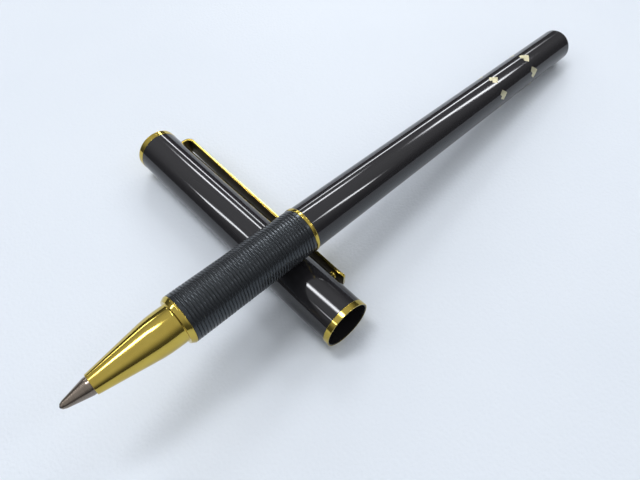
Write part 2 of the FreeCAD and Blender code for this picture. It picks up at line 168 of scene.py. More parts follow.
room = bpy.data.worlds.new("room")
room.use_nodes = True
tree = room.node_tree
tree.nodes.clear()
way = add_node(tree, "ShaderNodeTexCoord").outputs["Generated"]
height = add_node(tree, "ShaderNodeSeparateXYZ", {"Vector": way}).outputs["Z"]
glow = add_node(tree, "ShaderNodeMapRange", {
    "Value": height, "From Min": wall_top, "From Max": ceiling_start,
    "To Min": wall_light, "To Max": ceiling_light}, interpolation_type="SMOOTHSTEP").outputs[0]
seen = add_node(tree, "ShaderNodeLightPath").outputs["Is Camera Ray"]
strength = add_node(tree, "ShaderNodeMix", {"Factor": seen, 2: glow, 3: backdrop_light}).outputs[0]
sky = add_node(tree, "ShaderNodeBackground", {"Color": linear("#F6F8FC"), "Strength": strength})
add_node(tree, "ShaderNodeOutputWorld", {"Surface": sky.outputs["Background"]})
scene.world = room
scene.view_settings.view_transform = "Standard"

lamp_height = 1.2
row_compass = math.radians(135)
row_way = Vector((math.sin(row_compass), math.cos(row_compass), 0))
across_way = Vector((-row_way.y, row_way.x, 0))
lamp_brightness = 21.5
end_fade = 0.25
side_fade = 0.5


def ceiling_lamp(name, along, across, length, width, strength=1.0):
    """A soft-edged lamp in the ceiling. Its place and size are shares of the ceiling's height."""
    lamp = bpy.data.objects.new(name, bpy.data.lights.new(name, "AREA"))
    lamp.data.shape = "RECTANGLE"
    lamp.data.size = length * lamp_height
    lamp.data.size_y = width * lamp_height
    lamp.data.energy = math.pi * lamp_brightness * strength * lamp.data.size * lamp.data.size_y
    lamp.data.use_nodes = True
    tree = lamp.data.node_tree
    tree.nodes.clear()
    across_lamp = add_node(tree, "ShaderNodeSeparateXYZ", {
        "Vector": add_node(tree, "ShaderNodeNewGeometry").outputs["Parametric"]})
    fade = 1.0
    for side, share in (("X", end_fade), ("Y", side_fade)):
        inward = add_node(tree, "ShaderNodeMath", {
            0: across_lamp.outputs[side], 1: 0.5}, operation="PINGPONG").outputs[0]
        rise = add_node(tree, "ShaderNodeMapRange", {
            "Value": inward, "From Max": share}, interpolation_type="SMOOTHSTEP").outputs[0]
        fade = add_node(tree, "ShaderNodeMath", {0: rise, 1: fade}, operation="MULTIPLY").outputs[0]
    shine = add_node(tree, "ShaderNodeEmission", {"Color": linear("#F8FAFF"), "Strength": fade})
    add_node(tree, "ShaderNodeOutputLight", {"Surface": shine.outputs[0]})
    spot = (row_way * along + across_way * across + Vector((0, 0, 1))) * lamp_height
    turn = Matrix((row_way, across_way, Vector((0, 0, 1)))).transposed().to_4x4()
    lamp.matrix_world = Matrix.Translation(spot) @ turn
    scene.collection.objects.link(lamp)


ceiling_lamp("lamp_over_left", -1.15, 0.04, 0.66, 0.15)
ceiling_lamp("lamp_over_left_small", -1.03, -0.42, 0.34, 0.09, 0.6)
ceiling_lamp("lamp_over", -0.28, 0.20, 0.56, 0.24)
ceiling_lamp("lamp_over_right", 1.20, 0.10, 0.60, 0.14)
ceiling_lamp("lamp_second_left", -0.06, 1.18, 0.55, 0.30)
ceiling_lamp("lamp_second_right", 0.95, 0.97, 0.85, 0.26)
ceiling_lamp("lamp_second_end", -1.65, 1.50, 1.20, 0.40, 0.5)
ceiling_lamp("lamp_third", 0.10, 2.50, 2.00, 0.80, 0.7)


# ---- Rear plug ----
# A moulded plug closes the rear of the barrel: a rounded head outside, lacquered with the barrel
# in one coat, and a spigot pressed into the tube, with a blind seat for the refill's spring.

joints = {joint["name"]: joint for joint in frame["joints"]}
barrel_mouth = 82.6
pen_along = Vector(joints["section_turn"]["axis"]).normalized()
pen_rear = Vector(joints["section_turn"]["pos_m"]) - pen_along * barrel_mouth * 0.001
pen_up = (Vector((0, 0, 1)) - pen_along * pen_along.z).normalized()


def stand(origin, along, face):
    """The place of turned pieces: millimetres, their Z on the axis and their X on the given side."""
    columns = Matrix((face, along.cross(face), along)).transposed().to_4x4()
    return Matrix.Translation(origin) @ columns @ Matrix.Scale(0.001, 4)


pen_place = stand(pen_rear, pen_along, pen_up)


def softened(corners, steps=6):
    """Outline points (station, radius) in which a corner's third value is its rounding."""
    points = []
    for i, corner in enumerate(corners):
        here = Vector(corner[:2])
        if len(corner) == 2:
            points.append(here)
            continue
        before = Vector(corners[i - 1][:2]) - here
        after = Vector(corners[(i + 1) % len(corners)][:2]) - here
        opening = before.angle(after)
        reach = min(corner[2] / math.tan(opening / 2), before.length * 0.45, after.length * 0.45)
        radius = reach * math.tan(opening / 2)
        first = here + before.normalized() * reach
        last = here + after.normalized() * reach
        centre = here + (before.normalized() + after.normalized()).normalized() * math.hypot(reach, radius)
        guard = min(0.03, 0.2 * reach)
        points.append(first + before.normalized() * guard)
        for k in range(steps + 1):
            spoke = (first - centre).lerp(last - centre, k / steps)
            points.append(centre + spoke.normalized() * radius)
        points.append(last + after.normalized() * guard)
    return points


def keep(name, mesh, finish, body, finish_slot, *nodes):
    """Puts a finished mesh in the scene as the piece that stands for these CAD nodes."""
    mesh.materials.clear()
    mesh.materials.append(finish)
    piece = bpy.data.objects.new(name, mesh)
    scene.collection.objects.link(piece)
    if nodes:
        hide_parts(*nodes)
    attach(piece, body)
    return piece


def turned(name, outline, place, around=160):
    """Mesh turned about Z from a closed outline; its UV is in millimetres, around and along it."""
    outline = [Vector(point) for point in outline]
    mesh = bmesh.new()
    uv = mesh.loops.layers.uv.new("turned_mm")
    rings = []
    for station, radius in outline:
        if radius < 1e-6:
            rings.append([mesh.verts.new((0, 0, station))] * around)
            continue
        rings.append([mesh.verts.new((
            radius * math.cos(2 * math.pi * k / around),
            radius * math.sin(2 * math.pi * k / around),
            station,
        )) for k in range(around)])
    girth = 2 * math.pi * max(point[1] for point in outline)
    run = 0.0
    for i, point in enumerate(outline):
        j = (i + 1) % len(outline)
        length = (outline[j] - point).length
        if max(point[1], outline[j][1]) < 1e-6:
            continue
        for k in range(around):
            n = (k + 1) % around
            corners = [(rings[i][k], k, 0), (rings[j][k], k, length),
                       (rings[j][n], k + 1, length), (rings[i][n], k + 1, 0)]
            distinct = []
            for corner in corners:
                if corner[0] not in [c[0] for c in distinct]:
                    distinct.append(corner)
            face = mesh.faces.new([c[0] for c in distinct])
            face.smooth = True
            for loop, corner in zip(face.loops, distinct):
                loop[uv].uv = (girth * corner[1] / around, run + corner[2])
        run += length
    bmesh.ops.recalc_face_normals(mesh, faces=mesh.faces)
    made = bpy.data.meshes.new(name)
    mesh.to_mesh(made)
    mesh.free()
    made.set_sharp_from_angle(angle=math.radians(32))
    made.transform(place)
    return made


# Piano-black lacquer: a hard polish, almost a black mirror, with a little haze from handling and
# faint hairlines round it, left by buffing. The hairlines are drawn 0.12 mm apart.
lacquer_black = linear("#242325")
lacquer_haze = 7.0
lacquer_hairline = 0.12

black_lacquer, tree = new_finish("polished_black_lacquer")
place = add_node(tree, "ShaderNodeUVMap", uv_map="turned_mm").outputs["UV"]
haze = add_node(tree, "ShaderNodeTexNoise", {"Vector": place, "Scale": 1 / lacquer_haze, "Detail": 3.0})
stretched = add_node(tree, "ShaderNodeMapping", {
    "Vector": place, "Scale": (0.06 / lacquer_hairline, 1 / lacquer_hairline, 1)})
hairline = add_node(tree, "ShaderNodeTexNoise", {
    "Vector": stretched.outputs["Vector"], "Scale": 1.0, "Detail": 2.0})
gloss = add_node(tree, "ShaderNodeMapRange", {
    "Value": haze.outputs["Fac"], "From Min": 0.35, "From Max": 0.7, "To Min": 0.045, "To Max": 0.10})
relief = add_node(tree, "ShaderNodeBump", {
    "Height": hairline.outputs["Fac"], "Strength": 0.012, "Distance": 0.00002})
surface(tree, {"Base Color": lacquer_black, "Roughness": gloss.outputs["Result"], "IOR": 1.54,
               "Normal": relief.outputs["Normal"]})

barrel_rear_r = 3.66
barrel_mouth_r = 4.33
barrel_wall = 0.40
plug_head = 0.9
plug_rounding = 0.8
plug_spigot = 7.0
spring_seat = 3.0
spring_seat_r = 2.6
seating_gap = 0.02


def barrel_r(station):
    """The barrel's outer radius at a station from the rear end."""
    return barrel_rear_r + (barrel_mouth_r - barrel_rear_r) * station / barrel_mouth


spigot_r = barrel_r(plug_head) - barrel_wall - seating_gap
rounded_end = [
    (plug_rounding * (1 - math.cos(angle)), barrel_r(plug_head) - plug_rounding * (1 - math.sin(angle)))
    for angle in (math.radians(9 * i) for i in range(11))]
plug_outline = softened([
    (0, 0),
    *rounded_end,
    (plug_head - seating_gap, barrel_r(plug_head), 0.03),
    (plug_head - seating_gap, spigot_r),
    (plug_spigot, spigot_r, 0.15),
    (plug_spigot, spring_seat_r, 0.1),
    (spring_seat, spring_seat_r),
    (spring_seat, 0),
], steps=8)
keep("rear_plug", turned("rear_plug", plug_outline, pen_place), black_lacquer,
     "barrel_body", "black_lacquer", "barrel_end_plug")


# ---- Barrel ----
# A drawn brass tube, slightly tapered to the rear, dipped in black lacquer and polished.
# It is open at both ends: the plug closes the rear, and the threaded bush lines the mouth.

barrel_outline = softened([
    (plug_head, barrel_r(plug_head), 0.04),
    (barrel_mouth, barrel_mouth_r, 0.06),
    (barrel_mouth, barrel_mouth_r - barrel_wall, 0.05),
    (plug_head, barrel_r(plug_head) - barrel_wall, 0.05),
])
keep("barrel", turned("barrel", barrel_outline, pen_place, around=192), black_lacquer,
     "barrel_body", "black_lacquer", "barrel_tube")


# ---- Inlaid chevrons ----
# Two rows of plain chevrons, stamped from thin pale-gold sheet, curved to the barrel and let into
# the lacquer, so that they stand a hair proud. They point to the rear end.

chevron_rows = (14.0, 25.8)
chevrons_per_row = 6
chevron_turn = -2.5
chevron_rise = 1.85
chevron_half_span = 1.70
chevron_arm = 1.85
chevron_arm_end = 0.72
chevron_end_cut = 0.40
chevron_proud = 0.02
chevron_sunk = 0.15

# Pale gold: soft champagne-coloured plating, brushed to a satin face that lights up evenly. The
# brushing is drawn 0.1 mm wide and 0.4 mm long.
pale_grain_width = 0.1
pale_grain_length = 0.4
pale_gold, tree = new_finish("satin_pale_gold")
place = add_node(tree, "ShaderNodeTexCoord").outputs["Object"]
brushed = add_node(tree, "ShaderNodeMapping", {
    "Vector": place, "Scale": (1000 / pale_grain_width, 1000 / pale_grain_length, 1000 / pale_grain_width)})
grain = add_node(tree, "ShaderNodeTexNoise", {
    "Vector": brushed.outputs["Vector"], "Scale": 1.0, "Detail": 2.0})
tint = add_node(tree, "ShaderNodeMix", {
    "Factor": grain.outputs["Fac"], 6: linear("#DDD8BE"), 7: linear("#C6BE97")}, data_type="RGBA")
gloss = add_node(tree, "ShaderNodeMapRange", {
    "Value": grain.outputs["Fac"], "From Min": 0.3, "From Max": 0.7, "To Min": 0.42, "To Max": 0.56})
surface(tree, {"Base Color": tint.outputs[2], "Metallic": 1.0, "Roughness": gloss.outputs["Result"]})


def chevron_plate():
    """One curved plate on the barrel's +X side, its point at station 0, as a closed solid."""
    columns, rows = 16, 4
    mesh = bmesh.new()
    sheets = []
    for offset in (chevron_proud, -chevron_sunk):
        sheet = []
        for i in range(columns + 1):
            across = 2 * i / columns - 1
            arm = chevron_arm * (1 - (1 - chevron_arm_end) * abs(across))
            line = []
            for k in range(rows + 1):
                down = k / rows
                side = across * (chevron_half_span - chevron_end_cut * down)
                angle = side / barrel_rear_r
                station = chevron_rise * abs(across) + arm * down
                radius = barrel_rear_r + offset
                line.append(mesh.verts.new((radius * math.cos(angle), radius * math.sin(angle), station)))
            sheet.append(line)
        sheets.append(sheet)
    top, bottom = sheets
    for i in range(columns):
        for k in range(rows):
            mesh.faces.new((top[i][k], top[i][k + 1], top[i + 1][k + 1], top[i + 1][k]))
            mesh.faces.new((bottom[i][k], bottom[i + 1][k], bottom[i + 1][k + 1], bottom[i][k + 1]))
        for k in (0, rows):
            mesh.faces.new((top[i][k], top[i + 1][k], bottom[i + 1][k], bottom[i][k]))
    for i in (0, columns):
        for k in range(rows):
            mesh.faces.new((top[i][k], top[i][k + 1], bottom[i][k + 1], bottom[i][k]))
    bmesh.ops.recalc_face_normals(mesh, faces=mesh.faces)
    plate = bpy.data.meshes.new("chevron_plate")
    mesh.to_mesh(plate)
    mesh.free()
    return bpy.data.objects.new("chevron_plate", plate)


def new_pattern(name, inputs):
    """A Geometry Nodes tree with named inputs and one geometry output."""
    tree = bpy.data.node_groups.new(name, "GeometryNodeTree")
    for label, kind in inputs.items():
        tree.interface.new_socket(label, in_out="INPUT", socket_type=kind)
    tree.interface.new_socket("Geometry", in_out="OUTPUT", socket_type="NodeSocketGeometry")
    return tree, tree.nodes.new("NodeGroupInput").outputs


def end_pattern(tree, geometry, finish):
    """Every pattern ends in real faces with their material."""
    real = add_node(tree, "GeometryNodeRealizeInstances", {"Geometry": geometry})
    painted = add_node(tree, "GeometryNodeSetMaterial", {"Geometry": real.outputs[0], "Material": finish})
    add_node(tree, "NodeGroupOutput", {"Geometry": painted.outputs[0]})


def grown(name, tree, values, place):
    """Runs a pattern once with these input values and keeps its faces as a plain mesh."""
    seed = bpy.data.objects.new(name + "_seed", bpy.data.meshes.new(name + "_seed"))
    modifier = seed.modifiers.new("pattern", "NODES")
    modifier.node_group = tree
    for item in tree.interface.items_tree:
        if item.in_out == "INPUT":
            modifier[item.identifier] = values[item.name]
    scene.collection.objects.link(seed)
    made = bpy.data.meshes.new_from_object(seed.evaluated_get(bpy.context.evaluated_depsgraph_get()))
    bpy.data.objects.remove(seed)
    made.name = name
    made.transform(place)
    return made


def maths(tree, operation, a, b=0.0):
    """The result of one sum on two numbers or outputs."""
    return add_node(tree, "ShaderNodeMath", {0: a, 1: b}, operation=operation).outputs[0]


tree, given = new_pattern("chevron_rows", {
    "Plate": "NodeSocketObject", "Per Row": "NodeSocketInt", "Rows": "NodeSocketInt",
    "First Station": "NodeSocketFloat", "Row Spacing": "NodeSocketFloat",
    "First Turn": "NodeSocketFloat", "Taper": "NodeSocketFloat",
})
count = maths(tree, "MULTIPLY", given["Per Row"], given["Rows"])
index = add_node(tree, "GeometryNodeInputIndex").outputs[0]
row = maths(tree, "FLOOR", maths(tree, "DIVIDE", index, given["Per Row"]))
step = maths(tree, "DIVIDE", 2 * math.pi, given["Per Row"])
angle = maths(tree, "SUBTRACT", given["First Turn"], maths(tree, "MULTIPLY", index, step))
station = maths(tree, "ADD", given["First Station"], maths(tree, "MULTIPLY", row, given["Row Spacing"]))
growth = maths(tree, "MULTIPLY", station, given["Taper"])
spot = add_node(tree, "ShaderNodeCombineXYZ", {
    "X": maths(tree, "MULTIPLY", growth, maths(tree, "COSINE", angle)),
    "Y": maths(tree, "MULTIPLY", growth, maths(tree, "SINE", angle)),
    "Z": station,
})
lean = add_node(tree, "ShaderNodeCombineXYZ", {"Z": angle})
points = add_node(tree, "GeometryNodePoints", {"Count": count, "Position": spot.outputs[0]})
plate = add_node(tree, "GeometryNodeObjectInfo", {"Object": given["Plate"], "As Instance": True})
placed = add_node(tree, "GeometryNodeInstanceOnPoints", {
    "Points": points.outputs[0], "Instance": plate.outputs["Geometry"], "Rotation": lean.outputs[0]})
end_pattern(tree, placed.outputs[0], pale_gold)
plate_object = chevron_plate()
scene.collection.objects.link(plate_object)
chevrons = grown("chevrons", tree, {
    "Plate": plate_object, "Per Row": chevrons_per_row, "Rows": len(chevron_rows),
    "First Station": chevron_rows[0], "Row Spacing": chevron_rows[1] - chevron_rows[0],
    "First Turn": math.radians(chevron_turn), "Taper": (barrel_mouth_r - barrel_rear_r) / barrel_mouth,
}, pen_place)
bpy.data.objects.remove(plate_object)
keep("chevrons", chevrons, pale_gold, "barrel_body", "pale_gold", "inlay_chevrons")


# ---- Barrel bush ----
# A brass sleeve, cemented in the mouth of the barrel, with the thread that takes the front section.

# Bare brass as it comes off the lathe: warm yellow, with fine rings of turning and some dull
# oxide in patches about a millimetre across. The rings are drawn 0.3 mm apart.
brass_ring_spacing = 0.000296
wave_length_at_scale_one = 2 * math.pi / 20
oxide_patches_per_metre = 900.0
bare_brass, tree = new_finish("turned_bare_brass")
place = add_node(tree, "ShaderNodeTexCoord").outputs["Object"]
patches = add_node(tree, "ShaderNodeTexNoise", {
    "Vector": place, "Scale": oxide_patches_per_metre, "Detail": 3.0})
tint = add_node(tree, "ShaderNodeMix", {
    "Factor": patches.outputs["Fac"], 6: linear("#D9B36A"), 7: linear("#B98F4A")}, data_type="RGBA")
rings = add_node(tree, "ShaderNodeTexWave", {
    "Vector": place, "Scale": wave_length_at_scale_one / brass_ring_spacing, "Distortion": 1.0},
    bands_direction="X")
relief = add_node(tree, "ShaderNodeBump", {
    "Height": rings.outputs["Fac"], "Strength": 0.15, "Distance": 0.00001})
surface(tree, {"Base Color": tint.outputs[2], "Metallic": 1.0, "Roughness": 0.3,
               "Normal": relief.outputs["Normal"]})


def repaint(node, finish):
    """Gives a carried-over CAD node its real material."""
    mesh = frame["nodes"][node].data
    mesh.materials.clear()
    mesh.materials.append(finish)


repaint("barrel_bush", bare_brass)


# ---- Refill spring ----
# Open coil of hard drawn steel wire, its ends resting on the plug and on the back of the refill.
# In the real pen it shortens as the refill is pushed back; here it is one fixed coil.

spring_r = 2.1
spring_wire_r = 0.2
spring_pitch = 1.8
refill_rear = 19.5

# Spring steel: bright grey wire, shiny and duller by turns under a thin film of oil. The marks
# are drawn 0.25 mm across.
spring_mark = 0.25
spring_steel, tree = new_finish("drawn_spring_steel")
place = add_node(tree, "ShaderNodeTexCoord").outputs["Object"]
marks = add_node(tree, "ShaderNodeTexNoise", {"Vector": place, "Scale": 1000 / spring_mark, "Detail": 2.0})
gloss = add_node(tree, "ShaderNodeMapRange", {
    "Value": marks.outputs["Fac"], "From Min": 0.3, "From Max": 0.7, "To Min": 0.2, "To Max": 0.34})
surface(tree, {"Base Color": linear("#B9BCC0"), "Metallic": 1.0, "Roughness": gloss.outputs["Result"]})

tree, given = new_pattern("coil", {
    "Start": "NodeSocketFloat", "Height": "NodeSocketFloat", "Pitch": "NodeSocketFloat",
    "Coil Radius": "NodeSocketFloat", "Wire Radius": "NodeSocketFloat",
})
coil = add_node(tree, "GeometryNodeCurveSpiral", {
    "Resolution": 40, "Rotations": maths(tree, "DIVIDE", given["Height"], given["Pitch"]),
    "Start Radius": given["Coil Radius"], "End Radius": given["Coil Radius"], "Height": given["Height"],
})
wire = add_node(tree, "GeometryNodeCurvePrimitiveCircle", {
    "Resolution": 14, "Radius": given["Wire Radius"]})
swept = add_node(tree, "GeometryNodeCurveToMesh", {
    "Curve": coil.outputs[0], "Profile Curve": wire.outputs[0], "Fill Caps": True})
lift = add_node(tree, "ShaderNodeCombineXYZ", {"Z": given["Start"]})
raised = add_node(tree, "GeometryNodeTransform", {
    "Geometry": swept.outputs[0], "Translation": lift.outputs[0]})
end_pattern(tree, raised.outputs[0], spring_steel)
spring_start = spring_seat + spring_wire_r + seating_gap
spring_end = refill_rear - spring_wire_r - seating_gap
spring = grown("spring", tree, {
    "Start": spring_start, "Height": spring_end - spring_start, "Pitch": spring_pitch,
    "Coil Radius": spring_r, "Wire Radius": spring_wire_r,
}, pen_place)
spring.shade_smooth()
spring_piece = keep("spring", spring, spring_steel, "barrel_body", "spring_steel", "refill_spring")
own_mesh(spring_piece)


# ---- Joint ring ----
# A narrow turned brass ring with broken corners, gold plated and polished, loose on the section's
# core. It covers the joint between the barrel and the grip.

# Gold plating over polished brass: a cool greenish yellow, close to a mirror, with faint rings
# left by the polishing lathe and a little dulling from fingers. The rings are drawn 0.1 mm apart.
# The clip's inner face is marked for painted shade: it is coloured a rough dark brown, standing in for the dark
# cap and the shade that it faces.
gold_colour = linear("#D6BF5E")
gold_colour_worn = linear("#BFA54C")
# Painted shade: the dark brown given to the clip's inner face.
gold_painted_shade_colour = linear("#5E5030")
gold_ring_spacing = 0.1
gold_dulling = 3.0
gold_inner_face_roughness = 0.45

gold_plate, tree = new_finish("polished_gold_plate")
place = add_node(tree, "ShaderNodeUVMap", uv_map="turned_mm").outputs["UV"]
dulling = add_node(tree, "ShaderNodeTexNoise", {"Vector": place, "Scale": 1 / gold_dulling, "Detail": 3.0})
tint = add_node(tree, "ShaderNodeMix", {
    "Factor": dulling.outputs["Fac"], 6: gold_colour, 7: gold_colour_worn}, data_type="RGBA")
stretched = add_node(tree, "ShaderNodeMapping", {
    "Vector": place, "Scale": (0.05 / gold_ring_spacing, 1 / gold_ring_spacing, 1)})
polishing = add_node(tree, "ShaderNodeTexNoise", {
    "Vector": stretched.outputs["Vector"], "Scale": 1.0, "Detail": 2.0})
gloss = add_node(tree, "ShaderNodeMapRange", {
    "Value": dulling.outputs["Fac"], "From Min": 0.35, "From Max": 0.7, "To Min": 0.07, "To Max": 0.15})
relief = add_node(tree, "ShaderNodeBump", {
    "Height": polishing.outputs["Fac"], "Strength": 0.02, "Distance": 0.00002})
inner_face_painted_shade = add_node(tree, "ShaderNodeAttribute", attribute_name="inner_face_painted_shade").outputs["Fac"]
colour = add_node(tree, "ShaderNodeMix", {
    "Factor": inner_face_painted_shade, 6: tint.outputs[2], 7: gold_painted_shade_colour}, data_type="RGBA")
roughness = add_node(tree, "ShaderNodeMix", {
    "Factor": inner_face_painted_shade, 2: gloss.outputs["Result"], 3: gold_inner_face_roughness}).outputs[0]
surface(tree, {"Base Color": colour.outputs[2], "Metallic": 1.0, "Roughness": roughness,
               "Normal": relief.outputs["Normal"]})

joint_ring_r = 4.50
joint_ring_width = 0.7
thread_clear_r = 3.50
ring_start = barrel_mouth + seating_gap
ring_end = ring_start + joint_ring_width
joint_ring_outline = softened([
    (ring_start, thread_clear_r, 0.05),
    (ring_start, joint_ring_r, 0.16),
    (ring_end, joint_ring_r, 0.16),
    (ring_end, thread_clear_r, 0.05),
])
keep("joint_ring", turned("joint_ring", joint_ring_outline, pen_place), gold_plate,
     "ring_body", "gold_plate", "joint_ring")


# ---- Section core ----
# A turned brass tube that carries the grip and the nose cone. Its rear has the screw thread, one
# millimetre to the turn, which shows only while the front section is unscrewed.

thread_start = 76.0
thread_r = 3.44
thread_root_r = 3.30
thread_pitch = 1.0
thread_lead_in = 0.5
thread_length = 6.0
core_r = 3.80
core_bore_r = 3.12
grip_rear = barrel_mouth + joint_ring_width + 2 * seating_gap
grip_front = 108.93
nose_spigot_start = 103.0
nose_spigot_r = 3.38

core_outline = softened([
    (thread_start, core_bore_r, 0.05),
    (thread_start, thread_root_r, 0.06),
    (grip_rear + seating_gap, thread_root_r),
    (grip_rear + seating_gap, core_r, 0.1),
    (grip_front, core_r, 0.1),
    (grip_front, nose_spigot_r + seating_gap),
    (nose_spigot_start - seating_gap, nose_spigot_r + seating_gap),
    (nose_spigot_start - seating_gap, core_bore_r),
])
core_body = turned("section_core", core_outline, pen_place)
keep("section_core_tube", core_body, bare_brass, "section_body", "bare_brass", "section_core")

tree, given = new_pattern("thread", {
    "Start": "NodeSocketFloat", "Height": "NodeSocketFloat", "Pitch": "NodeSocketFloat",
    "Root Radius": "NodeSocketFloat", "Crest Radius": "NodeSocketFloat",
})
helix = add_node(tree, "GeometryNodeCurveSpiral", {
    "Resolution": 64, "Rotations": maths(tree, "DIVIDE", given["Height"], given["Pitch"]),
    "Start Radius": given["Root Radius"], "End Radius": given["Root Radius"], "Height": given["Height"],
})
depth = maths(tree, "SUBTRACT", given["Crest Radius"], given["Root Radius"])
ridge = add_node(tree, "GeometryNodeCurvePrimitiveCircle", {"Resolution": 6, "Radius": depth})
swept = add_node(tree, "GeometryNodeCurveToMesh", {
    "Curve": helix.outputs[0], "Profile Curve": ridge.outputs[0], "Fill Caps": True})
lift = add_node(tree, "ShaderNodeCombineXYZ", {"Z": given["Start"]})
raised = add_node(tree, "GeometryNodeTransform", {
    "Geometry": swept.outputs[0], "Translation": lift.outputs[0]})
end_pattern(tree, raised.outputs[0], bare_brass)
thread = grown("thread", tree, {
    "Start": thread_start + thread_lead_in, "Height": thread_length, "Pitch": thread_pitch,
    "Root Radius": thread_root_r, "Crest Radius": thread_r,
}, pen_place)
thread.shade_smooth()
keep("section_thread", thread, bare_brass, "section_body", "bare_brass")


# ---- Grip sleeve ----
# A sleeve over the core, finished in satin black, with fine grooves turned round it so that the
# fingers hold it. Each groove has a rounded bottom and soft edges.

groove_pitch = 0.604
groove_depth = 0.11
groove_width = 0.30
groove_count = 41
grip_rear_r = 4.38
grip_front_r = 4.48
sleeve_bore_r = core_r + seating_gap
first_groove = 0.5 * (grip_rear + grip_front - (groove_count - 1) * groove_pitch)

# Satin black: a thin matt lacquer with a very fine grain, which turns highlights into soft glints
# on the crests; their cool tint is painted, by a cool specular tint that stands in for cool light.
# Fingers polish the crests; the grooves stay matt, and their colour is darkened as painted shade.
# The grain is drawn 0.08 mm wide.
satin_grain = 0.08
rubbed_patches_per_metre = 300.0
# Painted shade: the grooves' near-black colour.
groove_painted_shade = linear("#070708")
groove_roughness = 0.7

satin_black, tree = new_finish("satin_black_lacquer")
place = add_node(tree, "ShaderNodeTexCoord").outputs["Object"]
grain = add_node(tree, "ShaderNodeTexNoise", {
    "Vector": place, "Scale": 1000 / satin_grain, "Detail": 2.0})
rubbing = add_node(tree, "ShaderNodeTexNoise", {
    "Vector": place, "Scale": rubbed_patches_per_metre, "Detail": 3.0})
tint = add_node(tree, "ShaderNodeMix", {
    "Factor": rubbing.outputs["Fac"], 6: linear("#1E1F21"), 7: linear("#252628")}, data_type="RGBA")
gloss = add_node(tree, "ShaderNodeMapRange", {
    "Value": rubbing.outputs["Fac"], "From Min": 0.3, "From Max": 0.7, "To Min": 0.19, "To Max": 0.23})
groove = add_node(tree, "ShaderNodeAttribute", attribute_name="groove").outputs["Fac"]
colour = add_node(tree, "ShaderNodeMix", {
    "Factor": groove, 6: tint.outputs[2], 7: groove_painted_shade}, data_type="RGBA")
roughness = add_node(tree, "ShaderNodeMix", {
    "Factor": groove, 2: gloss.outputs["Result"], 3: groove_roughness})
relief = add_node(tree, "ShaderNodeBump", {
    "Height": grain.outputs["Fac"], "Strength": 0.12, "Distance": 0.00001})
# The cool specular tint is painted: it tints the glints as cool light would.
surface(tree, {"Base Color": colour.outputs[2], "Roughness": roughness.outputs[0], "IOR": 1.6,
               "Specular Tint": linear("#E0EBF2"), "Normal": relief.outputs["Normal"]})

tree, given = new_pattern("ribbed_sleeve", {
    "Rear": "NodeSocketFloat", "Front": "NodeSocketFloat",
    "Rear Radius": "NodeSocketFloat", "Front Radius": "NodeSocketFloat", "Bore Radius": "NodeSocketFloat",
    "First Groove": "NodeSocketFloat", "Pitch": "NodeSocketFloat", "Grooves": "NodeSocketInt",
    "Groove Width": "NodeSocketFloat", "Groove Depth": "NodeSocketFloat",
    "Points Per Pitch": "NodeSocketInt",
})


def outline_point(tree, radius, station):
    """A point of the sleeve's outline beside a ring of the bore's radius."""
    out = maths(tree, "SUBTRACT", radius, given["Bore Radius"])
    down = maths(tree, "MULTIPLY", station, -1.0)
    return add_node(tree, "ShaderNodeCombineXYZ", {"X": out, "Y": down}).outputs[0]


corners = [
    outline_point(tree, given["Bore Radius"], given["Rear"]),
    outline_point(tree, given["Rear Radius"], given["Rear"]),
    outline_point(tree, given["Front Radius"], given["Front"]),
    outline_point(tree, given["Bore Radius"], given["Front"]),
]
lines = []
for i, corner in enumerate(corners):
    lines.append(add_node(tree, "GeometryNodeCurvePrimitiveLine", {
        "Start": corner, "End": corners[(i + 1) % len(corners)]}).outputs[0])
points = maths(tree, "MULTIPLY", maths(tree, "ADD", given["Grooves"], 2), given["Points Per Pitch"])
fine = add_node(tree, "GeometryNodeResampleCurve", {"Curve": lines[1], "Count": points}).outputs[0]
where = add_node(tree, "ShaderNodeSeparateXYZ", {
    "Vector": add_node(tree, "GeometryNodeInputPosition").outputs[0]})
station = maths(tree, "MULTIPLY", where.outputs["Y"], -1.0)
from_first = maths(tree, "SUBTRACT", station, given["First Groove"])
turns = maths(tree, "DIVIDE", from_first, given["Pitch"])
last = maths(tree, "SUBTRACT", given["Grooves"], 1)
nearest = add_node(tree, "ShaderNodeClamp", {"Value": maths(tree, "ROUND", turns), "Max": last}).outputs[0]
off_centre = maths(tree, "ABSOLUTE", maths(tree, "SUBTRACT", turns, nearest))
aside = maths(tree, "MULTIPLY", off_centre, given["Pitch"])
inside = maths(tree, "DIVIDE", aside, maths(tree, "DIVIDE", given["Groove Width"], 2))
cut = add_node(tree, "ShaderNodeMapRange", {
    "Value": inside, "From Min": 0.0, "From Max": 1.0, "To Min": 1.0, "To Max": 0.0},
    interpolation_type="SMOOTHSTEP").outputs[0]
sink = add_node(tree, "ShaderNodeCombineXYZ", {
    "X": maths(tree, "MULTIPLY", maths(tree, "MULTIPLY", cut, given["Groove Depth"]), -1.0)})
marked = add_node(tree, "GeometryNodeStoreNamedAttribute", {
    "Geometry": fine, "Name": "groove", "Value": cut}, data_type="FLOAT", domain="POINT").outputs[0]
lines[1] = add_node(tree, "GeometryNodeSetPosition", {
    "Geometry": marked, "Offset": sink.outputs[0]}).outputs[0]
joined = tree.nodes.new("GeometryNodeJoinGeometry")
for line in lines:
    tree.links.new(line, joined.inputs[0])
ring = add_node(tree, "GeometryNodeCurvePrimitiveCircle", {
    "Resolution": 144, "Radius": given["Bore Radius"]})
lathe = add_node(tree, "GeometryNodeCurveToMesh", {
    "Curve": ring.outputs[0], "Profile Curve": joined.outputs[0]})
closed = add_node(tree, "GeometryNodeMergeByDistance", {
    "Geometry": lathe.outputs[0], "Distance": 0.0005})
end_pattern(tree, closed.outputs[0], satin_black)
